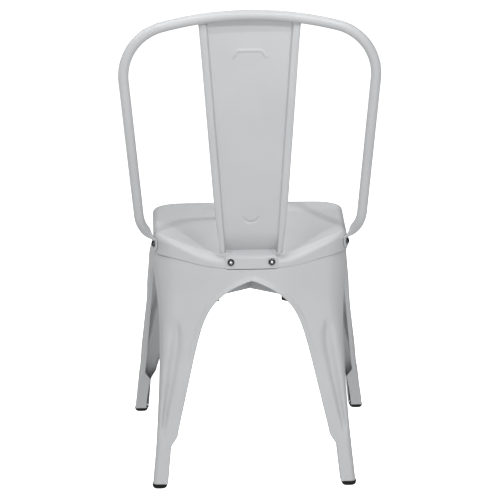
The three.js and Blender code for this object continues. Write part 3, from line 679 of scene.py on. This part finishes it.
def splat_tab_row(us, u_tab, z):
    """The tab under the crease at height z; it leans out to the skirt and then hangs flat on it."""
    half = mix(CREASE_HALF, TAB_HALF, float(np.clip((CREASE_Z - z) / (CREASE_Z - SHOULDER_Z), 0, 1)))
    round_r = 3
    if z < TAB_Z + round_r:  # rounded lower corners
        half -= round_r - math.sqrt(max(round_r ** 2 - (TAB_Z + round_r - z) ** 2, 0))
    x = np.clip(us / u_tab, -1, 1) * half
    crease_y = float(splat_line(CREASE_Z, "y")) - PANEL_STEP - TUCK
    f = float(np.clip((CREASE_Z - z) / (CREASE_Z - SHOULDER_Z), 0, 1.15)) / 1.15
    lean = 1 - (1 - f) ** 1.5
    return np.stack([x, mix(crease_y, tab_y(x), lean), np.full_like(x, z)], 1)


def build_splat():
    us = np.linspace(-1, 1, 221)
    crease_half = splat_half(CREASE_Z)
    u_tab = round(CREASE_HALF / crease_half * 110) / 110
    u_wall = (float(splat_line(CREASE_Z, "half")) - RIM_W - 2.2) / crease_half
    # rows are close together at the pressed marks and the foot
    body_z = np.concatenate([np.linspace(SPLAT_TOP["z"], 800, 12), np.arange(797, 764, -1.2),
                             np.arange(760, 505, -6.0), np.arange(500, 464, -1.3),
                             np.arange(462, CREASE_Z, -2.0)])
    tab_z = np.concatenate([np.linspace(CREASE_Z, RIM_END_Z, 5)[1:], np.arange(420, 393, -1.5),
                            TAB_Z + np.array([3, 2.4, 1.8, 1.2, 0.6, 0.2, 0])])
    zs = np.concatenate([body_z, [CREASE_Z], tab_z])
    rows = []
    on_tab = np.abs(us) <= u_tab + 1e-6
    for z in zs:
        row = splat_body_row(us, max(float(z), RIM_END_Z))
        if z < CREASE_Z:
            row[on_tab] = splat_tab_row(us, u_tab, float(z))[on_tab]
        rows.append(row)
    grid = np.array(rows)
    cell_z = 0.5 * (zs[1:] + zs[:-1])[:, None]
    cell_tab = (on_tab[1:] & on_tab[:-1])[None, :]
    cell_rim = (np.minimum(np.abs(us[1:]), np.abs(us[:-1])) >= u_wall)[None, :]
    keep = (cell_z > CREASE_Z) | cell_tab | (cell_rim & (cell_z > RIM_END_Z))
    # turned-in side edges
    turns, edge_depth = np.radians([30, 60, 90]), 5.5
    sides = []
    for s, col in ((-1, 0), (1, -1)):
        base = grid[:, col]
        bend = [base + [s * BEND_R * math.sin(a), -BEND_R * (1 - math.cos(a)), 0] for a in turns]
        sides.append(np.stack(bend + [bend[-1] + [0, -edge_depth, 0]], 1))
    grid = np.concatenate([sides[0][:, ::-1], grid, sides[1]], 1)
    wing = cell_z > RIM_END_Z
    keep = np.concatenate([np.repeat(wing, 4, 1), keep, np.repeat(wing, 4, 1)], 1)
    return sheet_mesh("back_splat_panel", grid, SHEET, keep=keep)


# ---- brace, bumpers and fasteners ----
def arm_end(front):
    """Plan point where an arm of the brace ends, inside a leg's corner."""
    k = leg_corner(BRACE_Z + BRACE_H / 2, front)
    inset = 0.29 * k["fillet"] + SHEET + 4
    return np.array([k["x"] - inset, (-1 if front else 1) * (k["y"] - inset)])


def brace_line(s):
    """The ends of a brace bar in plan, the crossing and its direction; its rear end is on side s."""
    rear, front = arm_end(False), arm_end(True)
    a, b = np.array([s * rear[0], rear[1]]), np.array([-s * front[0], front[1]])
    cross = mix(a, b, rear[0] / (rear[0] + front[0]))
    return a, b, cross, unit(b - a)


def extrude_profile(name, profile, start, end, sharp=30):
    """A bar with cross-section profile (sideways, z), from one plan point to another."""
    along = unit(end - start)
    side = np.array([-along[1], along[0]])
    prof = np.asarray(profile, float)
    rings = [np.c_[p + prof[:, :1] * side, prof[:, 1]] for p in (start, end)]
    verts = np.concatenate(rings)
    n = len(prof)
    faces = [[j, (j + 1) % n, n + (j + 1) % n, n + j] for j in range(n)]
    faces += [list(range(n))[::-1], list(range(n, 2 * n))]
    return fix_normals(mesh_object(name, verts, faces, sharp))


def corner_arc(cx, cz, r, start, steps=4):
    """Points of a quarter circle of radius r, counter-clockwise from the angle start in degrees."""
    angles = [math.radians(start + 90 * i / steps) for i in range(steps + 1)]
    return [(cx + r * math.cos(a), cz + r * math.sin(a)) for a in angles]


def rounded_rect(w, z0, z1, r):
    """Profile of a bar w wide from z0 to z1, with corners of radius r."""
    x = w / 2 - r
    corners = ((x, z1 - r, 0), (-x, z1 - r, 90), (-x, z0 + r, 180), (x, z0 + r, 270))
    return [p for cx, cz, start in corners for p in corner_arc(cx, cz, r, start)]


def build_brace(s):
    a, b, cross, along = brace_line(s)
    reach = BRACE_T / 2 + GAP
    mid = BRACE_Z + BRACE_H / 2
    edge_r = 0.9
    full = rounded_rect(BRACE_T, BRACE_Z, BRACE_Z + BRACE_H, edge_r)
    low, high = (BRACE_Z, mid - GAP / 2) if s > 0 else (mid + GAP / 2, BRACE_Z + BRACE_H)
    half = rounded_rect(BRACE_T, low, high, edge_r)
    other = brace_line(-s)[3]
    skew = abs(along[0] * other[1] - along[1] * other[0])
    w = reach / skew + BRACE_T
    name = "brace_bar_skin_" + side_name(s)
    slot_start, slot_end = cross - along * w, cross + along * w
    parts = [(full, a, slot_start), (half, slot_start, slot_end), (full, slot_end, b)]
    objs = [extrude_profile(name + f"_{i}", *part) for i, part in enumerate(parts)]
    return join_pieces(name, objs)


def join_pieces(name, objs):
    """One object from several closed pieces that share only their end faces."""
    bm = bmesh.new()
    for o in objs:
        bm.from_mesh(o.data)
        bpy.data.objects.remove(o)
    bmesh.ops.recalc_face_normals(bm, faces=bm.faces)
    mesh = bpy.data.meshes.new(name)
    bm.to_mesh(mesh)
    bm.free()
    mesh.polygons.foreach_set("use_smooth", [True] * len(mesh.polygons))
    mesh.set_sharp_from_angle(angle=math.radians(30))
    obj = bpy.data.objects.new(name, mesh)
    bpy.context.scene.collection.objects.link(obj)
    return obj


def build_bumper(front, sx):
    _, _, cross, along = brace_line(-sx if front else sx)
    outward = along * (1 if front else -1)
    middle = cross + outward * BUMPER_AT
    z0, z1 = BRACE_Z - BUMPER_DROP, BRACE_Z + 9
    w, slot = 11.0, BRACE_T + 2 * GAP
    low_r, top_r, half_long = 3, 1.2, 12
    prof = corner_arc(w / 2 - low_r, z0 + low_r, low_r, 270) + corner_arc(w / 2 - top_r, z1 - top_r, top_r, 0)
    prof += [(slot / 2, z1), (slot / 2, BRACE_Z - GAP)]
    prof += [(-x, z) for x, z in prof[::-1]]
    name = "stack_bumper_clip_" + corner_name(front, sx)
    body = extrude_profile(name, prof, middle - outward * half_long, middle + outward * half_long)
    bevel = body.modifiers.new("bevel", "BEVEL")
    bevel.width, bevel.segments = 0.0008, 2
    bevel.limit_method, bevel.angle_limit = "ANGLE", math.radians(60)
    return body


def hex_recess(x, y, r, h):
    """A hexagon socket 4 mm across its flats."""
    d = np.maximum.reduce([np.abs(x * math.cos(t) + y * math.sin(t)) for t in np.radians([0, 60, 120])])
    return np.where((r < 4.3) & (h > 2), 2.3 * (1 - smooth(d, 1.8, 2.15)), 0)


def cross_recess(x, y, r, h):
    """A cross recess, deepest in the middle, in a screw's domed head."""
    arm = np.minimum(np.abs(x), np.abs(y))
    depth = 2.6 * (1 - smooth(r, 1.4, 3.9))
    return np.where(h > 1, depth * (1 - smooth(arm, 0.6, 1.05)), 0)


def button_head(shank_r, head_r, edge, height, steps):
    """Profile of a screw: a plain shank, and a head that is straight for edge and then domed to height."""
    shank_end, chamfer = -9, 0.3
    under = [(shank_r, shank_end), (shank_r, -0.2), (head_r - chamfer, 0), (head_r, chamfer), (head_r, edge)]
    turns = np.linspace(0, math.pi / 2, steps)[1:-1]
    dome = [(head_r * math.cos(a) ** 0.9, edge + (height - edge) * math.sin(a)) for a in turns]
    return under + dome + [(0.02, height)]


def build_bolt(s):
    seat_on = bolt_point(s) + bolt_axis(s) * (TAB["off"] + TAB["thick"] + GAP)
    prof = button_head(2.7, 5.5, 1.2, 3.9, 26)
    return turned_mesh("hoop_bolt_head_" + side_name(s), prof, seat_on, bolt_axis(s), 72, hex_recess)


def mark_painted_glint(head, base):
    """Marks the points of a screw's recess, below the dome, for a painted glint: the material colours them
    near-white, standing in for light caught on the recess's facets.
    """
    recess_r, recess_floor = 3.6, 1.0
    painted_glint = head.data.attributes.new("painted_glint", "FLOAT", "POINT")
    for v, mark in zip(head.data.vertices, painted_glint.data):
        x, y, z = np.array(v.co) * 1000 - base
        r = math.hypot(x, z)
        under_dome = SCREW_HEAD_H * math.cos(r / SCREW_HEAD_R * 1.35) - 0.25
        mark.value = float(r < recess_r and recess_floor < y < under_dome)


def build_screw(s):
    prof = button_head(2.3, SCREW_HEAD_R, 1.0, SCREW_HEAD_H, 34)
    highest = SCREW_X - 5.5  # the part of the bowed tab under the head that stands furthest out
    base = [s * SCREW_X, tab_y(highest) + GAP, SCREW_Z]
    spin = 8 if s > 0 else 37
    head = turned_mesh("splat_screw_head_" + side_name(s), prof, base, [0, 1, 0], 96, cross_recess, spin)
    # the recess gets a painted glint
    mark_painted_glint(head, base)
    return head


def build_hoop_nut(s):
    inside = 5.5  # from the skirt's outer face to the nut's middle
    centre = bolt_point(s) - bolt_axis(s) * inside
    return nut_mesh("hoop_nut_body_" + side_name(s), 10, 3, 4, centre, -bolt_axis(s), 12)


def build_splat_nut(s):
    centre = [s * SCREW_X, skirt_y(SCREW_X) - SHEET - 3.2, SCREW_Z]
    return nut_mesh("splat_nut_body_" + side_name(s), 8, 2.6, 3.5, centre, [0, -1, 0], 20)


# ---- materials ----
def new_material(name):
    mat = bpy.data.materials.new(name)
    mat.use_nodes = True
    nodes = mat.node_tree.nodes
    shader = nodes["Principled BSDF"]
    coord = nodes.new("ShaderNodeTexCoord")
    return mat, nodes, mat.node_tree.links, shader, coord


def noise(nodes, links, coord, scale, detail=3.0, rough=0.5):
    n = nodes.new("ShaderNodeTexNoise")
    n.inputs["Scale"].default_value = scale
    n.inputs["Detail"].default_value = detail
    n.inputs["Roughness"].default_value = rough
    links.new(coord.outputs["Object"], n.inputs["Vector"])
    return n.outputs["Fac"]


def remap(nodes, links, source, low, high, lo_in=0.3, hi_in=0.7):
    r = nodes.new("ShaderNodeMapRange")
    r.inputs["From Min"].default_value = lo_in
    r.inputs["From Max"].default_value = hi_in
    r.inputs["To Min"].default_value = low
    r.inputs["To Max"].default_value = high
    links.new(source, r.inputs["Value"])
    return r.outputs["Result"]


def two_tone(nodes, links, factor, a, b):
    ramp = nodes.new("ShaderNodeMix")
    ramp.data_type = "RGBA"
    ramp.inputs["A"].default_value = (*a, 1)
    ramp.inputs["B"].default_value = (*b, 1)
    links.new(factor, ramp.inputs["Factor"])
    return ramp.outputs["Result"]


def add_bump(nodes, links, shader, height, strength, distance):
    b = nodes.new("ShaderNodeBump")
    b.inputs["Strength"].default_value = strength
    b.inputs["Distance"].default_value = distance
    links.new(height, b.inputs["Height"])
    links.new(b.outputs["Normal"], shader.inputs["Normal"])


def paint_material():
    """Satin silver-grey powder coat: faint cloudy tone, fine metallic fleck and a fine orange-peel skin."""
    mat, nodes, links, shader, coord = new_material("silver_powder_coat")
    cloud = noise(nodes, links, coord, 9, 2)
    fleck = noise(nodes, links, coord, 1400, 2)
    mixed = nodes.new("ShaderNodeMath")
    mixed.operation = "MULTIPLY_ADD"
    mixed.inputs[1].default_value = 0.5
    links.new(fleck, mixed.inputs[0])
    half = nodes.new("ShaderNodeMath")
    half.operation = "MULTIPLY"
    half.inputs[1].default_value = 0.5
    links.new(cloud, half.inputs[0])
    links.new(half.outputs[0], mixed.inputs[2])
    tone = remap(nodes, links, mixed.outputs[0], 0, 1)
    links.new(two_tone(nodes, links, tone, PAINT_DARK, PAINT_LIGHT), shader.inputs["Base Color"])
    sheen = noise(nodes, links, coord, 35, 3)
    links.new(remap(nodes, links, sheen, 0.47, 0.57), shader.inputs["Roughness"])
    add_bump(nodes, links, shader, noise(nodes, links, coord, 520, 2), 0.05, 0.0002)
    shader.inputs["Metallic"].default_value = 0.15
    shader.inputs["Specular IOR Level"].default_value = 0.38
    return mat


def steel_material(name, dark, light, rough):
    """Grained steel of a dark or light finish, with a painted glint: near-white colour where the mesh is
    marked for it.
    """
    mat, nodes, links, shader, coord = new_material(name)
    grain = noise(nodes, links, coord, 260, 4)
    painted_glint = nodes.new("ShaderNodeAttribute")
    painted_glint.attribute_name = "painted_glint"
    # painted glint: near-white colour mixed in where the mark is set, standing in for light caught in a
    # screw's recess
    glint_mix = nodes.new("ShaderNodeMix")
    glint_mix.data_type = "RGBA"
    glint_mix.inputs["B"].default_value = (0.85, 0.85, 0.86, 1)
    links.new(two_tone(nodes, links, remap(nodes, links, grain, 0, 1), dark, light), glint_mix.inputs["A"])
    links.new(painted_glint.outputs["Fac"], glint_mix.inputs["Factor"])
    links.new(glint_mix.outputs["Result"], shader.inputs["Base Color"])
    polish = noise(nodes, links, coord, 900, 2)
    links.new(remap(nodes, links, polish, rough * 0.8, rough * 1.3), shader.inputs["Roughness"])
    shader.inputs["Metallic"].default_value = 1.0
    add_bump(nodes, links, shader, noise(nodes, links, coord, 1500, 2), 0.08, 0.0001)
    return mat


def rubber_material(name, dark, light, rough):
    """Scuffed matt black rubber or plastic."""
    mat, nodes, links, shader, coord = new_material(name)
    scuff = noise(nodes, links, coord, 120, 4, 0.65)
    tone = remap(nodes, links, scuff, 0, 1)
    links.new(two_tone(nodes, links, tone, dark, light), shader.inputs["Base Color"])
    links.new(remap(nodes, links, scuff, rough * 0.85, rough * 1.15), shader.inputs["Roughness"])
    shader.inputs["Specular IOR Level"].default_value = 0.25
    add_bump(nodes, links, shader, noise(nodes, links, coord, 1100, 3), 0.25, 0.0003)
    return mat


PAINT_DARK, PAINT_LIGHT = (0.50, 0.51, 0.52), (0.56, 0.57, 0.58)
PAINT = paint_material()
BRIGHT = steel_material("bright_zinc_steel", (0.62, 0.62, 0.63), (0.80, 0.80, 0.81), 0.18)
DARK = steel_material("blackened_steel", (0.06, 0.06, 0.065), (0.11, 0.11, 0.12), 0.16)
RUBBER = rubber_material("black_foot_rubber", (0.005, 0.005, 0.005), (0.014, 0.014, 0.014), 0.75)
PLASTIC = rubber_material("black_bumper_plastic", (0.010, 0.010, 0.010), (0.022, 0.022, 0.022), 0.5)


def finish_piece(obj, material, slot_name, *nodes):
    """Gives a piece its material and body, and says which CAD nodes it replaces; slot_name is not used."""
    obj.data.materials.clear()
    obj.data.materials.append(material)
    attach(obj, "root")
    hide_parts(*nodes)


def build_all():
    finish_piece(build_seat(), PAINT, "paint", "seat_pan")
    finish_piece(build_hoop(), PAINT, "paint", "back_hoop")
    finish_piece(build_splat(), PAINT, "paint", "back_splat")
    for s in (1, -1):
        side = side_name(s)
        finish_piece(build_brace(s), PAINT, "paint", "brace_bar_" + side)
        finish_piece(build_bolt(s), DARK, "dark_steel", "hoop_bolt_" + side)
        finish_piece(build_hoop_nut(s), BRIGHT, "bright_steel", "hoop_nut_" + side)
        finish_piece(build_screw(s), DARK, "dark_steel", "splat_screw_" + side)
        finish_piece(build_splat_nut(s), BRIGHT, "bright_steel", "splat_nut_" + side)
        for front in (True, False):
            corner = corner_name(front, s)
            finish_piece(build_leg(front, s), PAINT, "paint", "leg_" + corner)
            finish_piece(build_foot(front, s), RUBBER, "foot_rubber", "foot_" + corner)
            finish_piece(build_bumper(front, s), PLASTIC, "bumper_plastic", "stack_bumper_" + corner)


# ---- stage, lights and camera ----
FLOOR_GLOW = 1.3
WORLD_UP, WORLD_DOWN = 0.0, 0.78  # strength of the surround above and below


def build_floor():
    mat, nodes, links, shader, coord = new_material("pale_floor")
    tone = remap(nodes, links, noise(nodes, links, coord, 1.5, 2), 0, 1)
    pale = two_tone(nodes, links, tone, (0.93, 0.93, 0.93), (0.95, 0.95, 0.95))
    links.new(pale, shader.inputs["Base Color"])
    shader.inputs["Roughness"].default_value = 0.95
    shader.inputs["Specular IOR Level"].default_value = 0.1
    shader.inputs["Emission Color"].default_value = (1, 1, 1, 1)
    shader.inputs["Emission Strength"].default_value = FLOOR_GLOW
    size, below = 60.0, -0.0005
    corners = [(x * size, y * size, below) for x, y in ((-1, -1), (1, -1), (1, 1), (-1, 1))]
    mesh = bpy.data.meshes.new("floor")
    mesh.from_pydata(corners, [], [(0, 1, 2, 3)])
    floor = bpy.data.objects.new("floor", mesh)
    bpy.context.scene.collection.objects.link(floor)
    floor.data.materials.append(mat)
    # the surround, not the floor, lights the undersides
    floor.visible_diffuse = False
    floor.visible_glossy = False


def softbox(name, azimuth, elevation, distance, size, watts):
    """A square light aimed at the chair, at that azimuth, from +Y towards +X, and elevation."""
    aim = Vector((0, 0.05, 0.45))
    a, e = math.radians(azimuth), math.radians(elevation)
    d = Vector((math.sin(a) * math.cos(e), math.cos(a) * math.cos(e), math.sin(e)))
    light = bpy.data.lights.new(name, "AREA")
    light.shape = "RECTANGLE"
    light.size = size
    light.size_y = size
    light.energy = watts
    obj = bpy.data.objects.new(name, light)
    obj.location = aim + d * distance
    obj.rotation_mode = "QUATERNION"
    obj.rotation_quaternion = (aim - obj.location).to_track_quat("-Z", "Y")
    bpy.context.scene.collection.objects.link(obj)


def light_world():
    """Soft studio surround, lit below the horizon as by a white floor, and dark overhead."""
    world = bpy.data.worlds.new("studio")
    bpy.context.scene.world = world
    world.use_nodes = True
    nodes, links = world.node_tree.nodes, world.node_tree.links
    coord = nodes.new("ShaderNodeTexCoord")
    split = nodes.new("ShaderNodeSeparateXYZ")
    links.new(coord.outputs["Generated"], split.inputs[0])
    up = remap(nodes, links, split.outputs["Z"], WORLD_DOWN, WORLD_UP, -0.35, 0.35)
    links.new(up, nodes["Background"].inputs["Strength"])
    nodes["Background"].inputs["Color"].default_value = (1, 1, 1, 1)


def light_scene():
    """Two small spots throw the hoop's shadows, and large soft boxes stand all round."""
    light_world()
    softbox("left_spot", 26, 50, 2.5, 0.05, 14)
    softbox("right_spot", -22, 38, 2.5, 0.05, 19)
    softbox("rear_low", 0, 0, 3.0, 1.6, 15)
    softbox("rear_left", 45, 30, 3.0, 1.6, 12)
    softbox("rear_right", -45, 30, 3.0, 1.6, 8)
    softbox("left_overhead", 90, 48, 3.0, 1.6, 30)
    softbox("right_overhead", -90, 60, 3.0, 1.6, 17)
    softbox("front_overhead", 180, 45, 3.0, 1.6, 22)
    softbox("overhead", 0, 89, 3.0, 1.6, 9)
    bpy.context.scene.view_settings.view_transform = "Standard"


def place_camera():
    """Behind the chair, a little above it and slightly towards the sitter's left."""
    cam = bpy.data.cameras.new("camera")
    cam.sensor_width = 36.0
    cam.lens = 112.78
    cam.clip_end = 200
    obj = bpy.data.objects.new("camera", cam)
    place = Vector((0.0595, 2.8945, 0.9969))
    target = Vector((-0.00132, 0, 0.3879))
    roll = math.radians(-0.65)
    aim = (target - place).to_track_quat("-Z", "Y")
    obj.location = place
    obj.rotation_mode = "QUATERNION"
    obj.rotation_quaternion = aim @ Matrix.Rotation(roll, 3, "Z").to_quaternion()
    bpy.context.scene.collection.objects.link(obj)
    bpy.context.scene.camera = obj


build_all()
build_floor()
light_scene()
place_camera()
